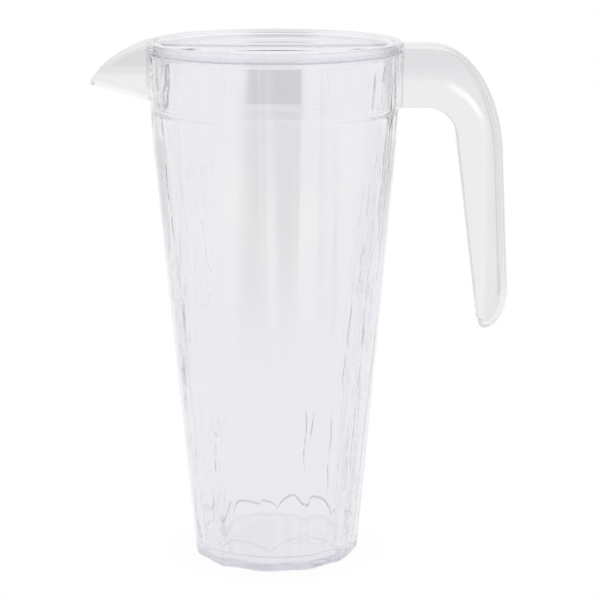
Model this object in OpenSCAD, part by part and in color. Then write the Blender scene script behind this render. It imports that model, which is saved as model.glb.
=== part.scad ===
/* [Vessel] */
// Height from the base to the top of the rim
vessel_height = 245; // [200:1:320]
// Outside diameter of the round rim
rim_diameter = 119; // [108:0.5:140]
// Outside diameter across the ridges at the base
base_diameter = 79.6; // [66:0.2:100]
// Wall thickness of the vessel, measured from its ridges
vessel_wall = 3.8; // [3:0.1:5]
// Thickness of the clear floor
floor_thickness = 5; // [4:0.5:12]
// Height of the smooth round band at the rim
rim_band = 4.5; // [3:0.5:8]
// Radius by which the outside draws in over the depth that takes the lid
lid_zone_draft = 0.5; // [0.2:0.1:1.5]
// Depth of the inside step that carries the lid, below the rim
seat_depth = 30.3; // [25:0.1:38]
// Width of that step
seat_width = 0.8; // [0.6:0.1:2]
// Radius of the corner between floor and wall
floor_fillet = 5; // [2:0.5:8]
// Chamfer around the foot
foot_chamfer = 1; // [0.5:0.1:2]

/* [Facets] */
// Number of upright facets around the vessel
facet_count = 22; // [14:1:30]
// Number of facet lengths between base and rim
facet_tiers = 6; // [3:1:9]
// How far a ridge wanders sideways, as a part of the facet width
ridge_wander = 0.34; // [0:0.02:0.4]
// How far some ridges stand back from the full size
ridge_depth = 0.7; // [0:0.1:1]
// Part of that unevenness that changes along a ridge
tier_share = 0.3; // [0:0.05:0.6]
// How far every second ridge draws back at the base, where the facets run together in pairs
base_flatness = 1.4; // [0:0.1:2]

/* [Spout] */
// Reach of the spout tip from the vessel's rim
spout_reach = 25.7; // [18:0.1:36]
// Width of the spout where it joins the vessel
spout_width = 38; // [34:0.5:46]
// Width of the spout at its tip
spout_tip_width = 7; // [5:0.5:12]
// Depth of the spout's underside at the vessel, below the rim
spout_depth = 27.9; // [25:0.1:32]
// Depth of the spout's upper edge at the vessel, below the rim
spout_top_drop = 1; // [0.2:0.1:3]
// Depth of the spout tip below the rim
spout_tip_drop = 20.5; // [17:0.1:23]
// Part of the fall from the upper edge to the tip that runs in a straight line
spout_straight_drop = 8.4; // [4:0.1:14]
// Wall thickness of the spout
spout_wall = 2.2; // [1.6:0.1:3]
// Ledge left between the spout's inside and the pouring window in the vessel
window_margin = 1.4; // [0.6:0.1:3]
// Height of the vessel's wall left between the rim and that window
window_head = 5.5; // [5:0.1:8]

/* [Handle] */
// Width of the handle, across the hand
handle_width = 21; // [16:0.5:28]
// Wall thickness of the handle's channel
handle_wall = 2.4; // [1.8:0.1:3.5]
// Depth of the handle's top below the rim
handle_drop = 0.8; // [0.5:0.1:4]
// Height of the handle's arm where it joins the vessel
arm_height = 29.6; // [24:0.1:40]
// Length of the arm's straight top, from the rim
arm_length = 12.9; // [8:0.1:24]
// Width of the outer bend
bend_width = 34.4; // [28:0.1:42]
// Height of the outer bend
bend_height = 55.2; // [48:0.1:66]
// Width of the inner bend
inner_bend_width = 14.3; // [8:0.1:18]
// Height of the inner bend
inner_bend_height = 16.1; // [10:0.1:24]
// Thickness of the leg below the bend
leg_depth = 21.7; // [16:0.1:26]
// Length of the leg's outer side, from the bend to the rounded end
leg_length = 62; // [40:1:90]
// Outward lean of the leg's outer side, in degrees
leg_lean = 2.8; // [0:0.1:8]
// Thickness of the leg where its end begins to round
leg_end_depth = 14; // [10:0.5:20]
// Length of the rounded end
leg_end_length = 17.5; // [10:0.5:24]
// Radius of the end's inner corner
leg_tip_round = 4; // [3:0.5:6]

/* [Lid] */
// Gap between the lid and the vessel's bore
lid_clearance = 0.35; // [0.2:0.05:0.6]
// Gap between the lid's foot and the step that carries it
seat_clearance = 0.2; // [0.1:0.05:0.4]
// Depth of the lid's upper edge below the rim
lid_drop = 0.8; // [0:0.1:2]
// Wall thickness of the lid
lid_wall = 2.6; // [2.2:0.1:3.2]
// Depth of the lid's sunk panel below the rim
panel_depth = 4.5; // [3.5:0.1:8]
// Thickness of that panel
panel_thickness = 1.8; // [1.4:0.1:2.8]
// Width of the finger grip at its middle
grip_width = 10; // [6:0.5:16]
// Depth of the grip's top below the rim
grip_drop = 1.6; // [0.5:0.1:3]
// Width of the pouring opening in the lid's skirt
skirt_window_width = 28; // [18:0.5:32]
// Height of the skirt left above and below that opening
skirt_margin = 2.6; // [1.5:0.1:4]

/* [Seal] */
// Height of the sealing ring
seal_height = 2.6; // [2:0.1:3.5]
// Depth of the sealing ring's top below the rim
seal_drop = 2.6; // [2.4:0.1:4]
// Depth of the groove that holds the ring
groove_depth = 1.4; // [1:0.1:1.5]
// Gap around the ring in its groove
seal_clearance = 0.25; // [0.15:0.05:0.3]
// Gap between the ring and the vessel's bore
seal_bore_gap = 0.2; // [0.1:0.05:0.3]

/* [Hidden] */
$fn = 96;
overcut = 1;
rim_r = rim_diameter / 2;
base_r = base_diameter / 2;
zone_z = vessel_height - seat_depth;
zone_r = rim_r - lid_zone_draft;
bore_r = rim_r - vessel_wall;
seat_bore_r = bore_r - lid_zone_draft;
seat_r = seat_bore_r - seat_width;
floor_r = base_r - vessel_wall - base_flatness;
lid_top_z = vessel_height - lid_drop;
lid_foot_z = zone_z + seat_clearance;
panel_z = vessel_height - panel_depth;
groove_r = bore_at(vessel_height - seal_drop) - lid_clearance - groove_depth;
panel_under_z = panel_z - panel_thickness;
window_r = spout_width / 2 - spout_wall - window_margin;
window_foot_z = vessel_height - spout_depth + spout_wall + window_margin;
curve_steps = 14;
clear_blue = [0.86, 0.87, 0.95, 0.45];
clear_plain = [0.93, 0.94, 0.95, 0.5];
soft_clear = [0.95, 0.95, 0.93, 0.7];

// Radius of the tapered bore that takes the lid, at height z
function bore_at(z) = bore_r - lid_zone_draft * (vessel_height - z) / seat_depth;

// Outside radius across the ridges at height z: nearly straight beside the lid, tapered below
function outside_at(z) = z > zone_z
    ? zone_r + (rim_r - zone_r) * (z - zone_z) / seat_depth
    : base_r + (zone_r - base_r) * z / zone_z;

// Repeatable unevenness between -1 and 1 for ridge k, which changes by tier_share from tier to tier j
function uneven(k, j, turn) = (1 - tier_share) * sin(turn * k) + tier_share * sin(turn * (5 * k + 7 * j));

// Corners of the uneven outline at height z on tier j
function facet_ring(z, j, inset = 0) = [
    for (k = [0 : facet_count - 1])
        let(
            a = 360 / facet_count * (k + ridge_wander * uneven(k, j, 157.3)),
            flat = base_flatness * (k % 2) * (1 - z / vessel_height),
            r = outside_at(z) - inset - flat - ridge_depth * (0.5 + 0.5 * uneven(k, j, 97.1))
        )
        [r * cos(a), r * sin(a), z]
];

// Solid through a stack of rings that have the same number of points
module loft(rings) {
    n = len(rings[0]);
    last = len(rings) - 1;
    sides = [
        for (j = [0 : last - 1], k = [0 : n - 1])
            let(a = j * n + k, b = j * n + (k + 1) % n)
            each [[a, a + n, b + n], [a, b + n, b]]
    ];
    bottom = [for (k = [0 : n - 1]) k];
    top = [for (k = [n - 1 : -1 : 0]) last * n + k];
    polyhedron(concat(rings[0], [for (j = [1 : last]) each rings[j]]), concat(sides, [bottom, top]));
}

// Outside of the vessel with its uneven facets and the round rim band
module vessel_outside() {
    band_z = vessel_height - rim_band;
    tier_h = (band_z - foot_chamfer) / facet_tiers;
    heights = [for (j = [0 : facet_tiers]) foot_chamfer + tier_h * j];
    foot_ring = facet_ring(0, 0, foot_chamfer);
    loft(concat([foot_ring], [for (j = [0 : facet_tiers]) facet_ring(heights[j], j)]));
    round_over = rim_band / 3;
    rotate_extrude()
        polygon([
            [0, band_z - overcut],
            [outside_at(band_z), band_z - overcut],
            [rim_r, band_z],
            [rim_r, vessel_height - round_over],
            for (a = [0 : 15 : 90])
                [rim_r - round_over * (1 - cos(a)), vessel_height - round_over * (1 - sin(a))],
            [0, vessel_height]
        ]);
}

module vessel_bore() {
    corner_r = floor_r - floor_fillet;
    rotate_extrude()
        polygon([
            [0, floor_thickness],
            for (a = [0 : 15 : 90])
                [corner_r + floor_fillet * sin(a), floor_thickness + floor_fillet * (1 - cos(a))],
            [seat_r, zone_z],
            [seat_bore_r, zone_z],
            [bore_r, vessel_height],
            [bore_r, vessel_height + overcut],
            [0, vessel_height + overcut]
        ]);
}

// Round-bottomed opening through the wall on the spout's side
module pouring_window() {
    round_z = window_foot_z + window_r;
    top_z = vessel_height - window_head;
    translate([-rim_r - overcut, 0, round_z])
        rotate([0, 90, 0])
            intersection() {
                cylinder(r = window_r, h = rim_r);
                translate([round_z - top_z, -window_r, 0])
                    cube([top_z - window_foot_z, 2 * window_r, rim_r]);
            }
}

module vessel() {
    color(clear_blue)
        difference() {
            vessel_outside();
            vessel_bore();
            pouring_window();
        }
}

// Height of the spout's upper edge for bend angle a, 0 at the vessel and 90 at the tip
function spout_top(a) = vessel_height - spout_top_drop - spout_straight_drop * sin(a)
    - (spout_tip_drop - spout_top_drop - spout_straight_drop) * (1 - cos(a));

function spout_bottom(a) = vessel_height - spout_depth + (spout_depth - spout_tip_drop) * sin(a);

function spout_half_width(a) = spout_tip_width / 2 + (spout_width - spout_tip_width) / 2 * cos(a);

// Half-oval section of the spout at bend angle a, thinned by the wall, with its sides raised by lift
function spout_ring(a, thin, lift) =
    let(
        x = -rim_r - spout_reach * sin(a),
        top = max(spout_top(a), spout_bottom(a) + thin + spout_wall / 4),
        depth = top - spout_bottom(a) - thin,
        half = spout_half_width(a) - thin,
        raised = lift > 0 ? [[x, -half, top + lift], [x, half, top + lift]] : []
    )
    concat(
        [for (i = [0 : curve_steps])
            let(t = 90 - 180 * i / curve_steps)
            [x, half * sin(t), top - depth * cos(t)]],
        raised
    );

function shifted(ring, dx) = [for (p = ring) p + [dx, 0, 0]];

module spout_solid(thin, lift) {
    root = shifted(spout_ring(0, thin, lift), vessel_wall);
    steps = [for (i = [0 : curve_steps]) spout_ring(90 * i / curve_steps, thin, lift)];
    loft(concat([root], steps));
}

module spout() {
    color(clear_plain)
        difference() {
            spout_solid(0, 0);
            spout_solid(spout_wall, spout_tip_drop);
            vessel_outside();
        }
}

// Side outline of the handle, with its outer edge moved in by thin and its inner edge moved out by open
function handle_outline(thin, open) =
    let(
        root_x = rim_r - vessel_wall,
        top_z = vessel_height - handle_drop - thin,
        bend_x = rim_r + arm_length,
        bend_z = vessel_height - handle_drop - bend_height,
        out_w = bend_width - thin,
        out_h = bend_height - thin,
        lean = [sin(leg_lean), -cos(leg_lean)],
        leg_top = [bend_x + out_w, bend_z],
        leg_foot = leg_top + leg_length * lean,
        end_w = leg_end_depth - thin + open,
        end_h = leg_end_length - thin,
        tip_r = leg_tip_round - thin,
        under_z = vessel_height - handle_drop - arm_height - open,
        inner_x = bend_x + bend_width - leg_depth - inner_bend_width - open,
        inner_top = [inner_x + inner_bend_width, under_z - inner_bend_height]
    )
    concat(
        [[root_x, under_z], [root_x, top_z]],
        [for (i = [0 : curve_steps])
            let(a = 90 * i / curve_steps)
            [bend_x + out_w * sin(a), bend_z + out_h * cos(a)]],
        [for (i = [0 : curve_steps])
            let(a = 90 * i / curve_steps)
            leg_foot + [-(end_w - tip_r) * (1 - cos(a)), -end_h * sin(a)]],
        [for (i = [1 : curve_steps])
            let(a = 90 * i / curve_steps)
            leg_foot + [tip_r - end_w - tip_r * sin(a), -end_h + tip_r * (1 - cos(a))]],
        [for (i = [0 : curve_steps])
            let(a = 90 * i / curve_steps)
            [inner_x + inner_bend_width * cos(a), inner_top[1] + inner_bend_height * sin(a)]]
    );

module handle() {
    color(clear_plain)
        difference() {
            rotate([90, 0, 0])
                linear_extrude(height = handle_width, center = true)
                    polygon(handle_outline(0, 0));
            rotate([90, 0, 0])
                linear_extrude(height = handle_width - 2 * handle_wall, center = true)
                    polygon(handle_outline(handle_wall, handle_wall));
            vessel_outside();
        }
}

module lid_seal() {
    low_z = vessel_height - seal_drop - seal_height;
    outer_r = bore_at(low_z) - seal_bore_gap;
    color(soft_clear)
        translate([0, 0, low_z])
            difference() {
                cylinder(r = outer_r, h = seal_height);
                translate([0, 0, -overcut])
                    cylinder(r = groove_r + seal_clearance, h = seal_height + 2 * overcut);
            }
}

// Leaf-shaped bar across the sunk panel, from the spout's side to the handle's side
module lid_grip() {
    half_length = groove_r - overcut;
    half_width = grip_width / 2;
    side_r = (half_length * half_length + half_width * half_width) / (2 * half_width);
    height = vessel_height - grip_drop - panel_under_z;
    translate([0, 0, panel_under_z])
        intersection_for(side = [-1, 1])
            translate([0, side * (side_r - half_width), 0])
                cylinder(r = side_r, h = height);
}

module skirt_window() {
    height = panel_under_z - lid_foot_z - 2 * skirt_margin;
    end_r = height / 2;
    middle = skirt_window_width / 2 - end_r;
    translate([0, 0, (panel_under_z + lid_foot_z) / 2])
        rotate([0, -90, 0]) {
            for (side = [-1, 1])
                translate([0, side * middle, 0])
                    cylinder(r = end_r, h = rim_r);
            translate([-end_r, -middle, 0])
                cube([height, 2 * middle, rim_r]);
        }
}

module lid() {
    top_r = bore_at(lid_top_z) - lid_clearance;
    foot_r = bore_at(lid_foot_z) - lid_clearance;
    groove_top = vessel_height - seal_drop + seal_clearance;
    groove_foot = vessel_height - seal_drop - seal_height - seal_clearance;
    color(clear_plain) {
        difference() {
            rotate_extrude()
                polygon([
                    [0, panel_under_z],
                    [foot_r - lid_wall, panel_under_z],
                    [foot_r - lid_wall, lid_foot_z],
                    [foot_r, lid_foot_z],
                    [bore_at(groove_foot) - lid_clearance, groove_foot],
                    [groove_r, groove_foot],
                    [groove_r, groove_top],
                    [bore_at(groove_top) - lid_clearance, groove_top],
                    [top_r, lid_top_z],
                    [top_r - lid_wall, lid_top_z],
                    [foot_r - lid_wall, panel_z],
                    [0, panel_z]
                ]);
            skirt_window();
        }
        lid_grip();
    }
}

vessel();
spout();
handle();
lid_seal();
lid();
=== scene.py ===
import math
import numpy as np
import bpy
import bmesh
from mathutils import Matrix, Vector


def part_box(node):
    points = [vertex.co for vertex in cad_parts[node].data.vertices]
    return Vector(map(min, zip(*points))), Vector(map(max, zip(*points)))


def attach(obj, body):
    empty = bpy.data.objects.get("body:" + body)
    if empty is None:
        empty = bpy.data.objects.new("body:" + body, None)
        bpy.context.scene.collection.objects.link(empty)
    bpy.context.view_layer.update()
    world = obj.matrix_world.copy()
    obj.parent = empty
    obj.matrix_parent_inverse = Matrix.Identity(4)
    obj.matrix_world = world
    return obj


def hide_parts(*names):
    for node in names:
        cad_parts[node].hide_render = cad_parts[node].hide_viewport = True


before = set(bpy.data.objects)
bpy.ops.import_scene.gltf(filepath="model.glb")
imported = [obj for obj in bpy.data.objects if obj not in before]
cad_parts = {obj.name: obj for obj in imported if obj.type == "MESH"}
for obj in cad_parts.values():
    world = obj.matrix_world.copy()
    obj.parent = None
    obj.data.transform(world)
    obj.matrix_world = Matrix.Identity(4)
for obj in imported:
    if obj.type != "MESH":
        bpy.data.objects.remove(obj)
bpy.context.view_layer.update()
mm = 0.001
scene = bpy.context.scene
rimZ = float(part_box("vessel")[1][2])  # top of the rim
print("frame loaded, rim at", round(rimZ, 4))


# shared mesh helpers

def signedVolume(verts, tris):
    a, b, c = verts[tris[:, 0]], verts[tris[:, 1]], verts[tris[:, 2]]
    return float(np.einsum("ij,ij->i", a, np.cross(b, c)).sum() / 6)


# grid of points (rows, columns, 3) to a closed mesh: rows are rings round the shape, ring after ring
def ringMesh(name, rings, loopRows=False, capEnds=False):
    rows, cols = rings.shape[:2]
    index = np.arange(rows * cols).reshape(rows, cols)
    upper = np.roll(index, -1, axis=0) if loopRows else index[1:]
    lower = index if loopRows else index[:-1]
    quads = np.stack([lower, np.roll(lower, -1, axis=1), np.roll(upper, -1, axis=1), upper], axis=-1)
    quads = quads.reshape(-1, 4)
    verts = rings.reshape(-1, 3)
    tris = np.concatenate([quads[:, [0, 1, 2]], quads[:, [0, 2, 3]]])
    if signedVolume(verts, tris) < 0:
        quads = quads[:, ::-1]
    faces = quads.tolist()
    if capEnds:
        first, last = index[0].tolist(), index[-1].tolist()
        outward = quads[0, 0] == index[0, 0] and quads[0, 1] == index[0, 1]
        faces += [first[::-1], last] if outward else [first, last[::-1]]
    mesh = bpy.data.meshes.new(name)
    mesh.from_pydata(verts.tolist(), [], faces)
    return finishMesh(name, mesh)


# poles are merged to one point, every face is smooth
def finishMesh(name, mesh):
    work = bmesh.new()
    work.from_mesh(mesh)
    bmesh.ops.remove_doubles(work, verts=work.verts, dist=1e-6)
    bmesh.ops.dissolve_degenerate(work, edges=work.edges, dist=1e-7)
    work.to_mesh(mesh)
    work.free()
    mesh.polygons.foreach_set("use_smooth", np.ones(len(mesh.polygons), dtype=bool))
    piece = bpy.data.objects.new(name, mesh)
    scene.collection.objects.link(piece)
    return piece


# cuts or joins with a second closed mesh, which is used up
def combine(piece, tool, operation):
    step = piece.modifiers.new("combine", "BOOLEAN")
    step.operation = operation
    step.solver = "EXACT"
    step.object = tool
    graph = bpy.context.evaluated_depsgraph_get()
    mesh = bpy.data.meshes.new_from_object(piece.evaluated_get(graph))
    piece.modifiers.clear()
    piece.data = mesh
    bpy.data.objects.remove(tool)


# profile (radius, height) turned round the upright axis
def turned(profile, steps):
    angle = np.linspace(0, 2 * np.pi, steps, endpoint=False)
    rings = np.empty((len(profile), steps, 3))
    rings[:, :, 0] = profile[:, :1] * np.cos(angle)
    rings[:, :, 1] = profile[:, :1] * np.sin(angle)
    rings[:, :, 2] = profile[:, 1:2]
    return rings


# extra points close to both ends of each long run, so that smooth shading keeps flat runs flat
def supported(profile, gap):
    a, b = profile[:-1], profile[1:]
    run = np.maximum(np.linalg.norm(b - a, axis=1), 1e-9)
    step = (b - a) / run[:, None] * gap
    keep = np.stack([run > 0, run > 3 * gap, run > 3 * gap], axis=1)
    return np.concatenate([np.stack([a, a + step, b - step], axis=1)[keep], profile[-1:]])


# part of a circle in the profile plane, angles in degrees
def arc(cx, cz, radius, start, end, steps):
    t = np.radians(np.linspace(start, end, steps))
    return np.stack([cx + radius * np.cos(t), cz + radius * np.sin(t)], axis=1)


# slab of a given outline (y, z) from x0 to x1, to cut a window
def windowSlab(name, outline, x0, x1):
    slab = np.empty((2, len(outline), 3))
    slab[:, :, 0] = [[x0], [x1]]
    slab[:, :, 1:] = outline
    return ringMesh(name, slab, capEnds=True)


# vessel: uneven facets outside, round bore inside

vesselSet = {
    "rimRadius": 59.5 * mm, "baseRadius": 39.8 * mm, "wall": 3.8 * mm, "floor": 5 * mm,
    "rimBand": 4.5 * mm, "rimStep": 0.6 * mm, "bandEase": (0.25 * mm, 0.3 * mm, 0.2 * mm),
    "rimInnerEdge": 0.7 * mm, "zoneDraft": 0.5 * mm, "seatDepth": 30.3 * mm, "seatWidth": 0.8 * mm,
    "seatSoft": 3.2 * mm, "floorFillet": 5 * mm, "cornerSoft": 2 * mm, "footChamfer": 1 * mm,
    "facets": 22, "tiers": 6, "wander": 0.34, "wanderTurn": 157.3, "ridgeDepth": 0.7 * mm,
    "ridgeTurn": 97.1, "tierShare": 0.3, "baseFlatness": 1.4 * mm, "softness": 0.75,
    "columns": 528, "rows": 120, "edgeGap": 0.3 * mm, "profileGap": 0.4 * mm,
    "discRings": (0.0, 0.5, 0.985),  # rings across a flat disc, as shares of its radius
    # arches round the floor inside
    "arches": 8, "archLow": 3.2 * mm, "archHigh": 11.2 * mm, "archMargin": 1.5 * mm,
    "archStep": 0.75 * mm, "archDrop": 0.6 * mm, "archEven": 0.6, "archSway": 0.3, "archPower": 0.55,
    "archWander": 0.15, "archLine": 0.65 * mm,
    # cracks drawn at random: least and most of each measure, lengths in mm
    "crackCount": 240, "crackSeed": 11, "crackHalf": (4, 15), "crackWidth": (0.7, 1.2),
    "crackDeep": (0.03, 0.09), "crackSlant": (-0.035, 0.035), "crackWiggle": (0.2, 1.1),
    "crackPeriods": (3, 8), "crackPhase": (0, 6.28), "crackTaper": 0.7, "crackReach": 5,
    "frontShare": 0.12, "lipShare": 0.45, "lipPlace": 1.7,
    "barkMargin": 2 * mm, "barkLow": 4 * mm, "barkFade": (3 * mm, 4 * mm),
    # cracks and soft streaks that show in front, the streaks only as painted shade: degrees round, middle
    # height and half length in mm
    "longCracks": (
        (-71.5, 65, 19), (-67.5, 72, 8), (-54, 58, 23), (-128, 54, 9), (-133, 30, 9), (-146, 203, 4),
        (-143, 232, 6), (-39.5, 225, 11), (-31.6, 233, 5), (-22, 222, 9), (-34.5, 193, 6), (-27, 178, 26),
        (-31.5, 147, 5), (-145, 151, 11), (-144, 133, 6), (-147, 118, 12), (-154, 89, 13), (-45, 118, 13),
        (-46.6, 97, 9), (-35, 62, 24), (-158, 182, 11), (-151, 49, 8), (-33, 132, 6), (-40, 141, 4),
    ),
    "streaks": ((-152, 98, 28), (-27, 117, 24), (-30, 42, 26)), "streakWidth": 2.2 * mm,
    "crackLine": 0.42 * mm, "crackDepth": 0.28 * mm, "crackWave": 0.45 * mm, "crackPeriod": 4.2 * mm,
}


# repeatable unevenness of ridge k on tier j, the same rule as the solid's
def unevenness(k, j, turn):
    share = vesselSet["tierShare"]
    steady = np.sin(np.radians(turn * k))
    changing = np.sin(np.radians(turn * (5 * k + 7 * j)))
    return (1 - share) * steady + share * changing


# outside radius across the ridges: nearly straight beside the lid, tapered below
def outsideAt(z):
    s = vesselSet
    zoneZ = rimZ - s["seatDepth"]
    zoneR = s["rimRadius"] - s["zoneDraft"]
    high = zoneR + s["zoneDraft"] * (z - zoneZ) / s["seatDepth"]
    low = s["baseRadius"] + (zoneR - s["baseRadius"]) * z / zoneZ
    return np.where(z > zoneZ, high, low)


# faceted wall: corner points on each tier, joined by flat triangles; u counts facets, z is height
def wallPoint(u, z):
    s = vesselSet
    n = s["facets"]
    bottom, top = s["footChamfer"], rimZ - s["rimBand"]
    tierPos = np.clip((z - bottom) / (top - bottom) * s["tiers"], 0, s["tiers"] - 1e-9)
    j = np.floor(tierPos)
    up = tierPos - j
    k = np.floor(u)
    across = u - k

    def corner(kk, jj):
        kk = np.mod(kk, n)
        zj = bottom + (top - bottom) * jj / s["tiers"]
        a = 2 * np.pi / n * (kk + s["wander"] * unevenness(kk, jj, s["wanderTurn"]))
        flat = s["baseFlatness"] * np.mod(kk, 2) * (1 - zj / rimZ)
        r = outsideAt(zj) - flat - s["ridgeDepth"] * (0.5 + 0.5 * unevenness(kk, jj, s["ridgeTurn"]))
        return np.stack([r * np.cos(a), r * np.sin(a), r], axis=-1)

    a, b = corner(k, j), corner(k + 1, j)
    c, d = corner(k, j + 1), corner(k + 1, j + 1)
    up, across = up[..., None], across[..., None]
    firstHalf = a + up * (c - a) + across * (d - c)
    secondHalf = a + across * (b - a) + up * (d - b)
    flat = np.where(up > across, firstHalf, secondHalf)[..., :2]

    # moulded corners are soft: most of each facet swells towards a round wall
    ease = 0.5 - 0.5 * np.cos(np.pi * across)
    swollen = ((a + ease * (b - a)) * (1 - up) + (c + ease * (d - c)) * up)[..., 2]
    radius = np.hypot(flat[..., 0], flat[..., 1])
    return flat * (1 + s["softness"] * (swollen / radius - 1))[..., None]


# radius of that wall in a given direction, found by stepping the facet count until the angle fits
def wallRadius(angle, z):
    n = vesselSet["facets"]
    u = np.mod(angle, 2 * np.pi) * n / (2 * np.pi)
    for step in range(12):
        p = wallPoint(np.mod(u, n), z)
        miss = np.mod(angle - np.arctan2(p[..., 1], p[..., 0]) + np.pi, 2 * np.pi) - np.pi
        u = u + 0.8 * miss * n / (2 * np.pi)
    p = wallPoint(np.mod(u, n), z)
    radius = np.hypot(p[..., 0], p[..., 1])
    return np.where(z > rimZ - vesselSet["rimBand"], vesselSet["rimRadius"], radius)


# x of the faceted wall at given y and z, on the side of the sign: radius and angle are fitted in turn
def facetX(y, z, sign, rounds):
    x = sign * np.sqrt(vesselSet["rimRadius"] ** 2 - y ** 2)
    for step in range(rounds):
        r = wallRadius(np.arctan2(y, x), z)
        x = sign * np.sqrt(r ** 2 - y ** 2)
    return x


# broken upright cracks like bark: each is a narrow groove with a raised lip, tapering to both ends
def barkRelief(angle, z, radius):
    s = vesselSet
    draw = np.random.default_rng(s["crackSeed"])
    relief = np.zeros_like(z)
    top = rimZ - s["rimBand"] - s["barkMargin"]
    for crack in range(s["crackCount"]):
        midAngle = draw.uniform(0, 2 * np.pi)
        midZ = draw.uniform(s["barkLow"], top)
        half = draw.uniform(*s["crackHalf"]) * mm
        width = draw.uniform(*s["crackWidth"]) * mm
        depth = draw.uniform(*s["crackDeep"]) * mm
        depth *= s["frontShare"] + (1 - s["frontShare"]) * math.cos(midAngle) ** 4  # shallow in front
        slant = draw.uniform(*s["crackSlant"])
        wiggle = draw.uniform(*s["crackWiggle"]) * mm
        period = draw.uniform(*s["crackPeriods"]) * mm
        phase = draw.uniform(*s["crackPhase"])
        if crack < len(s["longCracks"]):
            degrees, middle, reach = s["longCracks"][crack]
            midAngle, midZ, half = math.radians(degrees), middle * mm, reach * mm
            depth = s["crackDepth"] * abs(math.sin(midAngle))  # shallower on the flanks, seen edge on
            slant, wiggle, period, phase = 0, s["crackWave"], s["crackPeriod"], 0
        along = (z - midZ) / half
        shift = slant * (z - midZ) + wiggle * np.sin((z - midZ) / period + phase)
        turn = np.mod(angle - midAngle + np.pi, 2 * np.pi) - np.pi
        side = (turn * radius - shift) / width
        ends = np.maximum(1 - along ** 2, 0) ** s["crackTaper"]
        groove = np.exp(-side ** 2) - s["lipShare"] * np.exp(-(side - s["lipPlace"]) ** 2)
        relief = relief - depth * ends * np.where(np.abs(side) < s["crackReach"], groove, 0)
    fadeHigh, fadeLow = s["barkFade"]
    fade = np.clip((top - z) / fadeHigh, 0, 1) * np.clip((z - s["barkMargin"]) / fadeLow, 0, 1)
    return relief * fade


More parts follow.
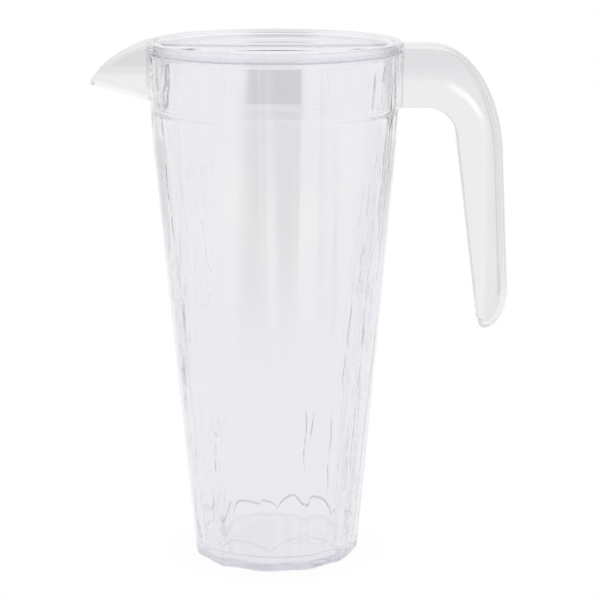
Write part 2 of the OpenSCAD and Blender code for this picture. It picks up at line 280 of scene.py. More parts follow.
def buildVessel():
    s = vesselSet
    cols = s["columns"]
    u = np.linspace(0, s["facets"], cols, endpoint=False)
    bandZ = rimZ - s["rimBand"]
    low, high, near = s["footChamfer"], bandZ - s["rimStep"], s["edgeGap"]
    between = np.linspace(low, high, s["rows"])[1:-1]
    z = np.concatenate([[low, low + near], between, [high - near, high]])
    uu, zz = np.meshgrid(u, z)
    xy = wallPoint(uu, zz)
    radius = np.hypot(xy[..., 0], xy[..., 1])
    angle = np.arctan2(xy[..., 1], xy[..., 0])
    relief = barkRelief(angle, zz, radius)
    carved = np.minimum(radius + relief, outsideAt(zz))
    wall = np.stack([carved * np.cos(angle), carved * np.sin(angle), zz], axis=-1)

    footXy = xy[0] * ((radius[0] - s["footChamfer"]) / radius[0])[:, None]

    def flatRing(points, height):
        return np.concatenate([points, np.full((cols, 1), height)], axis=1)[None]

    foot = [flatRing(footXy * f, 0.0) for f in (*s["discRings"], 1.0)]

    # rim: small step out to the round band, rounded top, then the bore down to the arches
    rimR, wallT = s["rimRadius"], s["wall"]
    boreR = rimR - wallT
    zoneZ = rimZ - s["seatDepth"]
    seatBore = boreR - s["zoneDraft"]
    seatR = seatBore - s["seatWidth"]
    floorR = s["baseRadius"] - wallT - s["baseFlatness"]
    roundR = s["rimBand"] / 3
    filletZ = s["floor"] + s["floorFillet"]
    edge = s["rimInnerEdge"]
    easeIn, easeLow, easeHigh = s["bandEase"]
    step = np.linspace(0, 1, 7)
    soft = step ** 2 * (3 - 2 * step)
    lowZ = s["floor"] + s["archHigh"] + s["archMargin"]
    profile = supported(np.concatenate([
        [[rimR - easeIn, bandZ - easeLow], [rimR, bandZ + easeHigh]],
        arc(rimR - roundR, rimZ - roundR, roundR, 0, 90, 7),
        arc(boreR + edge, rimZ - edge, edge, 90, 180, 5),
        np.stack([seatBore + (seatR - seatBore) * soft, zoneZ - s["seatSoft"] * step], axis=1),
        [[floorR + (seatR - floorR) * (lowZ - filletZ) / (zoneZ - filletZ), lowZ]],
    ]), s["profileGap"])
    spin = angle[-1]
    around = np.stack([np.cos(spin), np.sin(spin)], axis=-1)
    inner = np.empty((len(profile), cols, 3))
    inner[..., :2] = profile[:, :1, None] * around
    inner[..., 2] = profile[:, 1:2]

    # floor: the inside wall ends in uneven arches, a fine step in the wall above the rounded corner
    lobe = np.abs(np.sin(s["arches"] / 2 * spin + s["archSway"] * np.sin(3 * spin))) ** s["archPower"]
    rise = (s["archHigh"] - s["archLow"]) * (1 - s["archWander"] + s["archWander"] * np.cos(5 * spin))
    archZ = s["floor"] + s["archLow"] + lobe * rise
    archR = floorR + (seatR - floorR) * (archZ - filletZ) / (zoneZ - filletZ)
    ledgeR = archR - s["archStep"] * (s["archEven"] + (1 - s["archEven"]) * np.sin(spin))
    bend = np.linspace(90, 0, 8)[:, None] * np.pi / 180
    flatR = ledgeR - s["cornerSoft"]
    cornerRs = flatR + s["cornerSoft"] * np.sin(bend)
    cornerZs = s["floor"] + s["cornerSoft"] * (1 - np.cos(bend)) + 0 * spin
    flat = np.stack([flatR * f for f in s["discRings"][::-1]])
    stepFoot = archZ - s["archDrop"]
    archRs = np.stack([archR, archR, ledgeR, ledgeR])
    archZs = np.stack([archZ + near, archZ, stepFoot, stepFoot - near])
    lowR = np.concatenate([archRs, cornerRs, flat])
    lowZs = np.concatenate([archZs, cornerZs, np.full_like(flat, s["floor"])])
    bottom = np.concatenate([lowR[..., None] * around, lowZs[..., None]], axis=-1)
    rings = np.concatenate(foot + [wall, inner, bottom])
    piece = ringMesh("vesselWall", rings)

    # pouring window: round below, cut straight under the rim, on the spout's side
    w = spoutSet
    windowR = w["width"] / 2 - w["wall"] - w["windowMargin"]
    footZ = rimZ - w["depth"] + w["wall"] + w["windowMargin"]
    midZ = footZ + windowR
    reach = math.degrees(math.asin((rimZ - w["windowHead"] - midZ) / windowR))
    outline = arc(0, midZ, windowR, reach, -180 - reach, 48)
    tool = windowSlab("windowTool", outline, -rimR - w["cutOver"], -boreR + w["cutInto"])
    combine(piece, tool, "DIFFERENCE")
    return piece


# spout: open trough, half-oval sections that narrow and rise to the tip

spoutSet = {
    "reach": 25.7 * mm, "width": 38 * mm, "tipWidth": 7 * mm, "depth": 27.9 * mm, "topDrop": 1 * mm,
    "tipDrop": 20.5 * mm, "straightDrop": 8.4 * mm, "wall": 2.2 * mm,
    "tipEdge": 0.55 * mm, "thinShare": 0.48, "leastHollow": 0.02 * mm, "rootRun": 0.2 * mm,
    "windowMargin": 1.4 * mm, "windowHead": 5.5 * mm, "cutOver": 2 * mm, "cutInto": 8 * mm,
    "stations": 40, "across": 36, "gap": 0.04 * mm,
}


def buildSpout():
    s = spoutSet
    bend = np.radians(np.concatenate([[0, 0], np.linspace(0, 90, s["stations"])[1:]]))
    curved = s["tipDrop"] - s["topDrop"] - s["straightDrop"]
    top = rimZ - s["topDrop"] - s["straightDrop"] * np.sin(bend) - curved * (1 - np.cos(bend))
    bottom = rimZ - s["depth"] + (s["depth"] - s["tipDrop"]) * np.sin(bend)
    top = np.maximum(top, bottom + s["tipEdge"])
    half = s["tipWidth"] / 2 + (s["width"] - s["tipWidth"]) / 2 * np.cos(bend)
    x = -vesselSet["rimRadius"] - s["reach"] * np.sin(bend)
    depth = top - bottom
    thick = np.minimum(s["wall"], depth * s["thinShare"])
    t = np.radians(np.linspace(-90, 90, s["across"]))
    lip = np.radians(np.linspace(0, 180, 7)[1:-1])
    edge = thick / 2  # the upper edges are rounded within the wall

    def row(values):
        return values[:, None]

    outerY, outerZ = row(half) * np.sin(t), row(top - edge) - row(depth - edge) * np.cos(t)
    innerY = row(half - thick) * np.sin(t[::-1])
    hollow = np.maximum(depth - edge - thick, s["leastHollow"])
    innerZ = row(top - edge) - row(hollow) * np.cos(t[::-1])
    rightY, rightZ = row(half - edge) + row(edge) * np.cos(lip), row(top - edge) + row(edge) * np.sin(lip)
    leftY, leftZ = -row(half - edge) + row(edge) * np.cos(lip), rightZ
    y = np.concatenate([outerY, rightY, innerY, leftY], axis=1)
    z = np.concatenate([outerZ, rightZ, innerZ, leftZ], axis=1)
    xx = np.repeat(row(x), y.shape[1], axis=1)

    # the root lies against the facets
    xx[0] = facetX(y[0], z[0], -1, 4) - s["gap"]
    xx[1] -= s["rootRun"]
    return ringMesh("spoutTrough", np.stack([xx, y, z], axis=-1), capEnds=True)


# handle: channel section carried along the hook, open towards the vessel

handleSet = {
    "width": 21 * mm, "wall": 2.4 * mm, "drop": 0.8 * mm, "armHeight": 29.6 * mm, "armLength": 12.9 * mm,
    "bendWidth": 34.4 * mm, "bendHeight": 55.2 * mm, "innerBendWidth": 14.3 * mm,
    "innerBendHeight": 16.1 * mm, "legDepth": 21.7 * mm, "legLength": 62 * mm, "legLean": 2.8,
    "endDepth": 14 * mm, "endLength": 17.5 * mm, "endTurn": 0.35, "tipRound": 4 * mm,
    "corner": 8.5 * mm, "crown": 0.5 * mm, "bevel": 1.5 * mm, "bevelRun": 9 * mm, "bevelFull": 18 * mm,
    "leastDepth": 0.9 * mm, "leastCorner": 0.3 * mm, "gap": 0.04 * mm,
    "wallShare": 0.4, "cornerShare": 0.45, "bevelShare": 0.4,  # most of the depth that each takes
}


# outer and inner edge of the hook in the side view: arm, bend, leg and rounded end, point by point
def hookEdges():
    s = handleSet
    topZ = rimZ - s["drop"]
    rootX = vesselSet["rimRadius"]
    bendX = rootX + s["armLength"]
    bendZ = topZ - s["bendHeight"]
    underZ = topZ - s["armHeight"]
    innerX = bendX + s["bendWidth"] - s["legDepth"] - s["innerBendWidth"]
    innerTop = np.array([innerX + s["innerBendWidth"], underZ - s["innerBendHeight"]])
    lean = math.radians(s["legLean"])
    legTop = np.array([bendX + s["bendWidth"], bendZ])
    legFoot = legTop + s["legLength"] * np.array([math.sin(lean), -math.cos(lean)])
    tip = legFoot - np.array([s["endDepth"], s["endLength"] - s["tipRound"]])
    legShare = s["legLength"] / (s["legLength"] + s["endLength"])

    def line(a, b, steps):
        f = np.linspace(0, 1, steps)[:, None]
        return np.asarray(a) * (1 - f) + np.asarray(b) * f

    def bow(cx, cz, w, h, steps):
        a = np.linspace(0, np.pi / 2, steps)
        return np.stack([cx + w * np.sin(a), cz + h * np.cos(a)], axis=1)

    a = np.linspace(0, np.pi / 2, 22)[1:]
    b = np.linspace(0, np.pi / 2, 10)[1:]
    across, tipR = s["endDepth"] - s["tipRound"], s["tipRound"]
    end = legFoot + np.concatenate([
        np.stack([-across * (1 - np.cos(a)), -s["endLength"] * np.sin(a)], axis=1),
        np.stack([-across - tipR * np.sin(b), -s["endLength"] + tipR * (1 - np.cos(b))], axis=1)])
    innerFoot = innerTop + (tip - innerTop) * legShare
    t = np.linspace(0, np.pi / 2, len(end) + 1)[1:-1]  # the end stays open by a hair, so no section is flat
    endShare = s["endTurn"] * np.sin(t) + (1 - s["endTurn"]) * (1 - np.cos(t))
    outer = np.concatenate([line([rootX, topZ], [bendX, topZ], 10)[:-1],
                            bow(bendX, bendZ, s["bendWidth"], s["bendHeight"], 30)[:-1],
                            line(legTop, legFoot, 26), end[:-1]])
    inner = np.concatenate([line([rootX, underZ], [innerX, underZ], 10)[:-1],
                            bow(innerX, innerTop[1], s["innerBendWidth"], s["innerBendHeight"], 30)[:-1],
                            line(innerTop, innerFoot, 26),
                            innerFoot + (tip - innerFoot) * endShare[:, None]])
    return outer, inner


def buildHandle():
    s = handleSet
    outer, inner = hookEdges()
    depth = np.maximum(np.linalg.norm(inner - outer, axis=1), s["leastDepth"])
    inward = (inner - outer) / depth[:, None]
    wall = np.minimum(s["wall"], depth * s["wallShare"])[:, None]
    corner = np.minimum(s["corner"], depth * s["cornerShare"])[:, None]
    insideCorner = np.maximum(corner - wall, s["leastCorner"])
    half = s["width"] / 2
    deep = depth[:, None]
    quarter = np.linspace(0, np.pi / 2, 9)
    roundLip = np.linspace(0, np.pi, 9)
    crown = s["crown"]

    # the sides lean in towards their open edge, by less where the hook is shallow
    def lean(d):
        run = np.minimum(s["bevelRun"], deep * s["bevelShare"])
        return s["bevel"] * np.clip((d - deep + run) / run, 0, 1) * np.minimum(1, deep / s["bevelFull"])

    # one half of the section, from the middle of the outer strap round the side and back inside
    strapY = np.linspace(0, 1, 5)[None] * (half - corner)
    strapD = crown * (strapY / half) ** 2
    cornerY = half - corner + corner * np.sin(quarter)
    cornerD = crown + corner - corner * np.cos(quarter)
    sideF = np.linspace(0, 1, 20)[None, 1:-1]
    sideD = (crown + corner) * (1 - sideF) + (deep - wall / 2) * sideF
    sideY = half - lean(sideD)
    lipY = half - lean(deep) - wall / 2 + wall / 2 * np.cos(roundLip)
    lipD = deep - wall / 2 + wall / 2 * np.sin(roundLip)
    backStart, backEnd = deep - wall / 2, np.minimum(crown + wall + insideCorner, deep - wall / 2)
    backD = backStart * (1 - sideF) + backEnd * sideF
    backY = half - wall - lean(backD)
    fillY = half - wall - insideCorner + insideCorner * np.cos(quarter)
    fillD = backEnd - insideCorner * np.sin(quarter)
    innerF = np.linspace(1, 0, 5)[None, 1:]
    innerY = innerF * (half - wall - insideCorner)
    innerD = fillD[:, -1:] - (fillD[:, -1:] - np.minimum(wall, fillD[:, -1:])) * (1 - innerF ** 2)
    y = np.concatenate([strapY, cornerY[:, 1:], sideY, lipY, backY, fillY, innerY], axis=1)
    d = np.concatenate([strapD, cornerD[:, 1:], sideD, lipD, backD, fillD, innerD], axis=1)
    y = np.concatenate([y, -y[:, -2:0:-1]], axis=1)
    d = np.concatenate([d, d[:, -2:0:-1]], axis=1)
    x = outer[:, :1] + inward[:, :1] * d
    z = outer[:, 1:] + inward[:, 1:] * d

    # the root lies against the facets
    x[0] = facetX(y[0], z[0], 1, 3) + s["gap"]
    return ringMesh("handleHook", np.stack([x, y, z], axis=-1), capEnds=True)


# lid: turned cup with a groove, a leaf-shaped grip across the sunk panel and a window in the skirt

lidSet = {
    "clearance": 0.35 * mm, "seatClearance": 0.2 * mm, "drop": 0.8 * mm, "wall": 2.6 * mm,
    "panelDepth": 4.5 * mm, "panel": 1.8 * mm, "gripWidth": 10 * mm, "gripDrop": 1.6 * mm,
    "gripEnd": 1 * mm, "gripRound": 1.4 * mm, "gripRoundShare": 0.8, "panelBend": 1 * mm,
    "skirtWindow": 28 * mm, "skirtMargin": 2.6 * mm, "cutOver": 3 * mm, "cutInto": 8 * mm,
    "edge": 0.4 * mm, "footWall": 0.9 * mm, "grooveEdge": 0.2 * mm, "grooveLand": 8 * mm,
    "profileGap": 0.3 * mm, "steps": 256,
}
sealSet = {
    "height": 2.6 * mm, "drop": 2.6 * mm, "groove": 1.4 * mm, "clearance": 0.25 * mm,
    "boreGap": 0.2 * mm, "edge": 0.2 * mm, "steps": 256,
}


def boreAt(z):
    s = vesselSet
    return s["rimRadius"] - s["wall"] - s["zoneDraft"] * (rimZ - z) / s["seatDepth"]


def grooveRadius():
    return boreAt(rimZ - sealSet["drop"]) - lidSet["clearance"] - sealSet["groove"]


def buildLid():
    s, g = lidSet, sealSet
    topZ = rimZ - s["drop"]
    footZ = rimZ - vesselSet["seatDepth"] + s["seatClearance"]
    panelZ = rimZ - s["panelDepth"]
    underZ = panelZ - s["panel"]
    grooveTop = rimZ - g["drop"] + g["clearance"]
    grooveFoot = rimZ - g["drop"] - g["height"] - g["clearance"]

    def outsideOf(z):
        return boreAt(z) - s["clearance"]

    topR, footR = outsideOf(topZ), outsideOf(footZ)
    inR, e = footR - s["wall"], s["edge"]
    bend = s["panelBend"]  # radius between the panel and the wall
    landZ, nick = grooveFoot - s["grooveLand"], s["grooveEdge"]
    profile = np.concatenate([
        [[0, underZ], [inR * 0.5, underZ]],
        arc(inR - bend, underZ - bend, bend, 90, 0, 6),
        arc(footR - s["footWall"] + e, footZ + e, e, 180, 270, 4), arc(footR - e, footZ + e, e, -90, 0, 4),
        [[outsideOf(landZ), landZ], [outsideOf(grooveFoot), grooveFoot - nick],
         [outsideOf(grooveFoot) - nick, grooveFoot], [grooveRadius(), grooveFoot],
         [grooveRadius(), grooveTop], [outsideOf(grooveTop) - nick, grooveTop],
         [outsideOf(grooveTop), grooveTop + nick]],
        arc(topR - e, topZ - e, e, 0, 90, 5), arc(topR - s["wall"] + e, topZ - e, e, 90, 180, 5),
        arc(inR - bend, panelZ + bend, bend, 0, -90, 7),
        [[inR * 0.5, panelZ], [0, panelZ]],
    ])
    piece = ringMesh("lidCup", turned(supported(profile, s["profileGap"]), s["steps"]))

    # grip: leaf outline between two arcs, sides rounded over at the top
    halfLen = grooveRadius() - s["gripEnd"]
    halfWid = s["gripWidth"] / 2
    sideR = (halfLen ** 2 + halfWid ** 2) / (2 * halfWid)
    x = halfLen * np.sin(np.linspace(-np.pi / 2, np.pi / 2, 60))[1:-1]
    w = np.sqrt(sideR ** 2 - x ** 2) - (sideR - halfWid)
    gripTop = rimZ - s["gripDrop"]
    over = np.minimum(s["gripRound"], w * s["gripRoundShare"])[:, None]
    q = np.linspace(0, np.pi / 2, 6)
    low = np.full((len(x), 1), underZ + 0.5 * s["panel"])
    y = np.concatenate([w[:, None], w[:, None] - over + over * np.cos(q)], axis=1)
    z = np.concatenate([low, gripTop - over + over * np.sin(q)], axis=1)
    y = np.concatenate([y, -y[:, ::-1]], axis=1)
    z = np.concatenate([z, z[:, ::-1]], axis=1)
    leaf = np.stack([np.repeat(x[:, None], y.shape[1], axis=1), y, z], axis=-1)
    combine(piece, ringMesh("gripTool", leaf, capEnds=True), "UNION")

    # window with round ends through the skirt, towards the spout
    highZ, lowZ = underZ - s["skirtMargin"], footZ + s["skirtMargin"]
    endR = (highZ - lowZ) / 2
    midY = s["skirtWindow"] / 2 - endR
    outline = np.concatenate([arc(midY, lowZ + endR, endR, -90, 90, 14),
                              arc(-midY, lowZ + endR, endR, 90, 270, 14)])
    tool = windowSlab("skirtTool", outline, -footR - s["cutOver"], -inR + s["cutInto"])
    combine(piece, tool, "DIFFERENCE")
    return piece


# sealing ring: flat inside, two soft lips outside
def buildSeal():
    g = sealSet
    lowZ = rimZ - g["drop"] - g["height"]
    highZ = lowZ + g["height"]
    outR = boreAt(lowZ) - g["boreGap"]
    inR = grooveRadius() + g["clearance"]
    lip, nick = g["height"] / 4, g["edge"]
    loop = np.concatenate([
        [[inR, highZ - nick], [inR, lowZ + nick], [inR + nick, lowZ]],
        arc(outR - lip, lowZ + lip, lip, -90, 60, 8),
        arc(outR - lip, highZ - lip, lip, -60, 90, 8),
        [[inR + nick, highZ]],
    ])
    return ringMesh("sealRing", turned(loop, g["steps"]), loopRows=True)


# materials

def newMaterial(name):
    material = bpy.data.materials.new(name)
    material.use_nodes = True
    return material, material.node_tree.nodes, material.node_tree.links


def objectPlace(material):
    nodes = material.node_tree.nodes
    place = nodes.get("Texture Coordinate") or nodes.new("ShaderNodeTexCoord")
    return place.outputs["Object"]


# noise on the object's own coordinates, stretched by a scale for each axis
def noiseNode(material, scale, detail):
    nodes, links = material.node_tree.nodes, material.node_tree.links
    mapping = nodes.new("ShaderNodeMapping")
    mapping.inputs["Scale"].default_value = scale
    links.new(objectPlace(material), mapping.inputs["Vector"])
    texture = nodes.new("ShaderNodeTexNoise")
    texture.inputs["Scale"].default_value = 1.0
    texture.inputs["Detail"].default_value = detail
    links.new(mapping.outputs["Vector"], texture.inputs["Vector"])
    return texture.outputs["Fac"]


# value from one range to another, with soft ends
def ranged(material, value, low, high, start, end):
    node = material.node_tree.nodes.new("ShaderNodeMapRange")
    node.interpolation_type = "SMOOTHSTEP"
    for socket, number in (("From Min", low), ("From Max", high), ("To Min", start), ("To Max", end)):
        node.inputs[socket].default_value = number
    material.node_tree.links.new(value, node.inputs["Value"])
    return node.outputs["Result"]


def maths(material, operation, *values):
    node = material.node_tree.nodes.new("ShaderNodeMath")
    node.operation = operation
    for socket, value in zip(node.inputs, values):
        if isinstance(value, (int, float)):
            socket.default_value = value
        else:
            material.node_tree.links.new(value, socket)
    return node.outputs[0]


# object coordinates as separate x, y and z
def places(material):
    split = material.node_tree.nodes.new("ShaderNodeSeparateXYZ")
    material.node_tree.links.new(objectPlace(material), split.inputs["Vector"])
    return split.outputs["X"], split.outputs["Y"], split.outputs["Z"]


# blend of two colours; either may be a colour or another node's result
def blended(material, factor, first, second):
    node = material.node_tree.nodes.new("ShaderNodeMix")
    node.data_type = "RGBA"
    links = material.node_tree.links
    links.new(factor, node.inputs["Factor"])
    for socket, value in ((node.inputs["A"], first), (node.inputs["B"], second)):
        if isinstance(value, tuple):
            socket.default_value = (*value, 1)
        else:
            links.new(value, socket)
    return node.outputs["Result"]


# bump of a height on top of the bump that is already there
def bumped(material, height, depth):
    nodes, links = material.node_tree.nodes, material.node_tree.links
    normal = nodes["Principled BSDF"].inputs["Normal"]
    bump = nodes.new("ShaderNodeBump")
    bump.inputs["Strength"].default_value = 1.0
    bump.inputs["Distance"].default_value = depth
    links.new(height, bump.inputs["Height"])
    if normal.is_linked:
        links.new(normal.links[0].from_socket, bump.inputs["Normal"])
    links.new(bump.outputs["Normal"], normal)


# clear moulded plastic: slow waves in tint and gloss, and in the bump where the finish gives them a depth
def clearPlastic(name, finish):
    material, nodes, links = newMaterial(name)
    shader = nodes["Principled BSDF"]
    shader.inputs["IOR"].default_value = finish["bend"]
    shader.inputs["Transmission Weight"].default_value = 1.0
    waves = noiseNode(material, finish["stretch"], 2.0)
    links.new(blended(material, waves, *finish["tints"]), shader.inputs["Base Color"])
    links.new(ranged(material, waves, 0.0, 1.0, *finish["gloss"]), shader.inputs["Roughness"])
    if finish["waves"]:
        bumped(material, waves, finish["waves"])
    return material


# another tint over the tints so far, as far as the product of its shares
def addTint(material, tint, *shares):
    share = shares[0]
    for other in shares[1:]:
        share = maths(material, "MULTIPLY", share, other)
    colour = material.node_tree.nodes["Principled BSDF"].inputs["Base Color"]
    material.node_tree.links.new(blended(material, share, colour.links[0].from_socket, tint), colour)


# 0 below a height and 1 above it, with a soft change over the rise
def above(material, rise):
    return ranged(material, places(material)[2], *rise, 0.0, 1.0)


def distance(material, a, b):
    squares = maths(material, "ADD", maths(material, "MULTIPLY", a, a), maths(material, "MULTIPLY", b, b))
    return maths(material, "SQRT", squares)


# finish of the vessel: a tint is the share of red, green and blue that a surface lets through

bodyFinish = {
    "tints": ((0.808, 0.803, 0.846), (0.848, 0.842, 0.882)), "stretch": (110, 110, 14),
    "bend": 1.5, "gloss": (0.0, 0.012), "waves": 0.0,
    # inside, and zones by height
    "insideTint": (0.99, 0.99, 0.994), "insideDepth": (2.4 * mm, 2.8 * mm), "insideRise": (1 * mm, 2 * mm),
    "cloudTint": (0.86, 0.86, 0.87), "cloudRise": (90 * mm, 150 * mm),
    "cloudStretch": (28, 28, 11), "cloudEdge": (0.42, 0.6),
    "lidTint": (0.86, 0.858, 0.887), "lidRise": (rimZ - 40 * mm, rimZ - 23 * mm),
    "rootTint": (0.98, 0.98, 0.985), "rootRise": (rimZ - 50 * mm, rimZ - 33 * mm), "rootSide": (0.78, 0.92),
    "rimTint": (0.814, 0.809, 0.855), "rimRise": (rimZ - 6 * mm, rimZ - 4 * mm),
    # painted shade: dark line at the lower edge of the rim's band
    "rimLineShade": (0.48, 0.47, 0.56), "rimLineSpan": (rimZ - 4.9 * mm, rimZ - 4.1 * mm),
    "rimLineSoft": 0.2 * mm,
    # foot and floor: painted shade on the foot, along the arches and in the floor's corner
    "footShade": (0.58, 0.575, 0.65), "footHeight": 4.6 * mm, "footSoft": 0.6 * mm,
    "footBack": (0.0, 35 * mm), "footBackShare": 0.4,
    "archShade": (0.42, 0.42, 0.45), "archCore": 0.4, "archFront": (-20 * mm, 15 * mm), "archFrontShare": 0.3,
    "archPatch": (90, 90, 90), "archPatchEdge": (0.3, 0.55), "archPatchShare": 0.6,
    "cornerShade": (0.76, 0.76, 0.81), "cornerLow": (0.2 * mm, 0.5 * mm), "cornerHigh": (1.7 * mm, 2.2 * mm),
    "cornerFront": (-12 * mm, 8 * mm),
    # painted shade lines outside, along cracks, streaks and bark
    "streakShade": (0.7, 0.685, 0.76), "crackShade": (0.34, 0.34, 0.4), "lineCore": 0.3, "lineEnds": 0.5,
    "linePatch": (160, 160, 160), "linePatchEdge": (0.35, 0.55), "linePatchShare": 0.25,
    "barkShade": (0.54, 0.54, 0.62), "barkStretch": (230, 230, 15), "barkLine": 0.022,
    "barkDepth": 0.012 * mm, "barkPatch": (45, 45, 22), "barkPatchEdge": (0.47, 0.63),
    "barkSide": (0.6, 0.92), "barkTop": 4 * mm,
}


# 1 towards spout and handle, 0 in front and behind
def sidewards(material):
    x, y, z = places(material)
    return maths(material, "ABSOLUTE", maths(material, "COSINE", maths(material, "ARCTAN2", y, x)))


# 1 on the vessel's inside, 0 on its outside, by how far a point lies within the outer radius
def onInside(material):
    s = vesselSet
    x, y, z = places(material)
    zoneZ, zoneR = rimZ - s["seatDepth"], s["rimRadius"] - s["zoneDraft"]
    slope = (zoneR - s["baseRadius"]) / zoneZ
    outside = maths(material, "MINIMUM", maths(material, "MULTIPLY_ADD", z, slope, s["baseRadius"]), zoneR)
    within = maths(material, "SUBTRACT", outside, distance(material, x, y))
    return ranged(material, within, *bodyFinish["insideDepth"], 0.0, 1.0)


def onOutside(material):
    return maths(material, "SUBTRACT", 1.0, onInside(material))


# cloudy patches of another tint, from a height upwards
def addClouds(material):
    f = bodyFinish
    cloud = ranged(material, noiseNode(material, f["cloudStretch"], 2.0), *f["cloudEdge"], 0.0, 1.0)
    addTint(material, f["cloudTint"], cloud, above(material, f["cloudRise"]))


# clearer wall beside the roots of spout and handle
def addRoots(material):
    f = bodyFinish
    beside = ranged(material, sidewards(material), *f["rootSide"], 0.0, 1.0)
    addTint(material, f["rootTint"], beside, above(material, f["rootRise"]))


# painted shade: dark line along the lower edge of the rim's band
def addRimShadeLine(material):
    f = bodyFinish
    (low, high), soft = f["rimLineSpan"], f["rimLineSoft"]
    below = ranged(material, places(material)[2], high - soft, high + soft, 1.0, 0.0)
    addTint(material, f["rimLineShade"], above(material, (low - soft, low + soft)), below)


# clearer inside: the tint lies in the outside, so rays that turn back within the wall take it too
def clearInside(material):
    f = bodyFinish
    addTint(material, f["insideTint"], onInside(material), above(material, f["insideRise"]))


# painted shade: darker tint of the foot's outside, for the shade under the foot, fainter towards the back
def addFootShade(material):
    f = bodyFinish
    x, y, z = places(material)
    low = ranged(material, z, f["footHeight"] - f["footSoft"], f["footHeight"] + f["footSoft"], 1.0, 0.0)
    uneven = ranged(material, y, *f["footBack"], 1.0, f["footBackShare"])
    addTint(material, f["footShade"], low, onOutside(material), uneven)


# painted shade: grey line along the arches inside, by the same rule as their step, fainter towards the front
def addArchShadeLine(material):
    s, f = vesselSet, bodyFinish
    x, y, z = places(material)
    angle = maths(material, "ARCTAN2", y, x)
    threefold = maths(material, "SINE", maths(material, "MULTIPLY", angle, 3.0))
    sway = maths(material, "MULTIPLY", threefold, s["archSway"])
    wave = maths(material, "SINE", maths(material, "MULTIPLY_ADD", angle, s["arches"] / 2, sway))
    lobe = maths(material, "POWER", maths(material, "ABSOLUTE", wave), s["archPower"])
    fivefold = maths(material, "COSINE", maths(material, "MULTIPLY", angle, 5.0))
    rise = maths(material, "MULTIPLY_ADD", fivefold, s["archWander"], 1 - s["archWander"])
    reach = maths(material, "MULTIPLY", maths(material, "MULTIPLY", lobe, rise), s["archHigh"] - s["archLow"])
    middle = maths(material, "ADD", reach, s["floor"] + s["archLow"] - s["archDrop"] / 2)
    away = maths(material, "ABSOLUTE", maths(material, "SUBTRACT", z, middle))
    line = ranged(material, away, f["archCore"] * s["archLine"], s["archLine"], 1.0, 0.0)
    patches = noiseNode(material, f["archPatch"], 1.0)
    patchy = ranged(material, patches, *f["archPatchEdge"], f["archPatchShare"], 1.0)
    front = ranged(material, y, *f["archFront"], f["archFrontShare"], 1.0)
    addTint(material, f["archShade"], line, patchy, front, onInside(material))


# painted shade: dark line of a given width along each long crack or streak outside, by the same rule as the
# grooves
def addCrackShadeLines(material, tint, cracks, width):
    s, f = vesselSet, bodyFinish
    x, y, z = places(material)
    angle = maths(material, "ARCTAN2", y, x)
    slope = (s["rimRadius"] - s["baseRadius"]) / rimZ
    radius = maths(material, "MULTIPLY_ADD", z, slope, s["baseRadius"])
    lines = 0.0
    for degrees, height, half in cracks:
        turn = math.radians(degrees)
        up = maths(material, "SUBTRACT", z, height * mm)
        wave = maths(material, "SINE", maths(material, "DIVIDE", up, s["crackPeriod"]))
        along = maths(material, "MULTIPLY", maths(material, "SUBTRACT", angle, turn), radius)
        side = maths(material, "ABSOLUTE", maths(material, "MULTIPLY_ADD", wave, -s["crackWave"], along))
        wide = width / math.sqrt(abs(math.sin(turn)))  # wider on the flanks
        line = ranged(material, side, f["lineCore"] * wide, wide, 1.0, 0.0)
        far = maths(material, "ABSOLUTE", up)
        ends = ranged(material, far, f["lineEnds"] * half * mm, half * mm, 1.0, 0.0)
        lines = maths(material, "MAXIMUM", maths(material, "MULTIPLY", line, ends), lines)
    patches = noiseNode(material, f["linePatch"], 1.0)
    broken = ranged(material, patches, *f["linePatchEdge"], f["linePatchShare"], 1.0)
    addTint(material, tint, lines, broken, onOutside(material))


# painted shade: darker tint of the rounded corner between floor and wall, on the near side
def addFloorCornerShade(material):
    f = bodyFinish
    x, y, z = places(material)
    up = maths(material, "SUBTRACT", z, vesselSet["floor"])
    low = ranged(material, up, *f["cornerLow"], 0.0, 1.0)
    high = ranged(material, up, *f["cornerHigh"], 1.0, 0.0)
    near = ranged(material, y, *f["cornerFront"], 1.0, 0.0)
    addTint(material, f["cornerShade"], low, high, near, onInside(material))


# bark lines outside: thin broken upright squiggles where a stretched noise crosses its middle, as a bump,
# with painted shade in them on the flanks
def addBarkAndShade(material):
    f = bodyFinish
    middle = maths(material, "SUBTRACT", noiseNode(material, f["barkStretch"], 2.0), 0.5)
    line = ranged(material, maths(material, "ABSOLUTE", middle), 0.0, f["barkLine"], 0.0, 1.0)
    broken = ranged(material, noiseNode(material, f["barkPatch"], 1.0), *f["barkPatchEdge"], 1.0, 0.0)
    rimFoot = rimZ - vesselSet["rimBand"]
    rim = above(material, (rimFoot - f["barkTop"], rimFoot))
    plain = maths(material, "MAXIMUM", maths(material, "MAXIMUM", broken, onInside(material)), rim)
    height = maths(material, "MAXIMUM", line, plain)
    bumped(material, height, f["barkDepth"])
    # painted shade in the bark lines, on the flanks only
    flank = ranged(material, sidewards(material), *f["barkSide"], 0.0, 1.0)
    addTint(material, f["barkShade"], maths(material, "SUBTRACT", 1.0, height), flank)


def vesselMaterial():
    f, s = bodyFinish, vesselSet
    material = clearPlastic("tintedClear", f)
    addClouds(material)
    addTint(material, f["lidTint"], above(material, f["lidRise"]))
    addRoots(material)
    addTint(material, f["rimTint"], above(material, f["rimRise"]))
    # the rim line, foot, arch line, crack and streak lines, floor corner and bark lines below add painted
    # shade
    addRimShadeLine(material)
    clearInside(material)
    addFootShade(material)
    addArchShadeLine(material)
    addCrackShadeLines(material, f["streakShade"], s["streaks"], s["streakWidth"])
    addCrackShadeLines(material, f["crackShade"], s["longCracks"], s["crackLine"])
    addFloorCornerShade(material)
    addBarkAndShade(material)
    return material
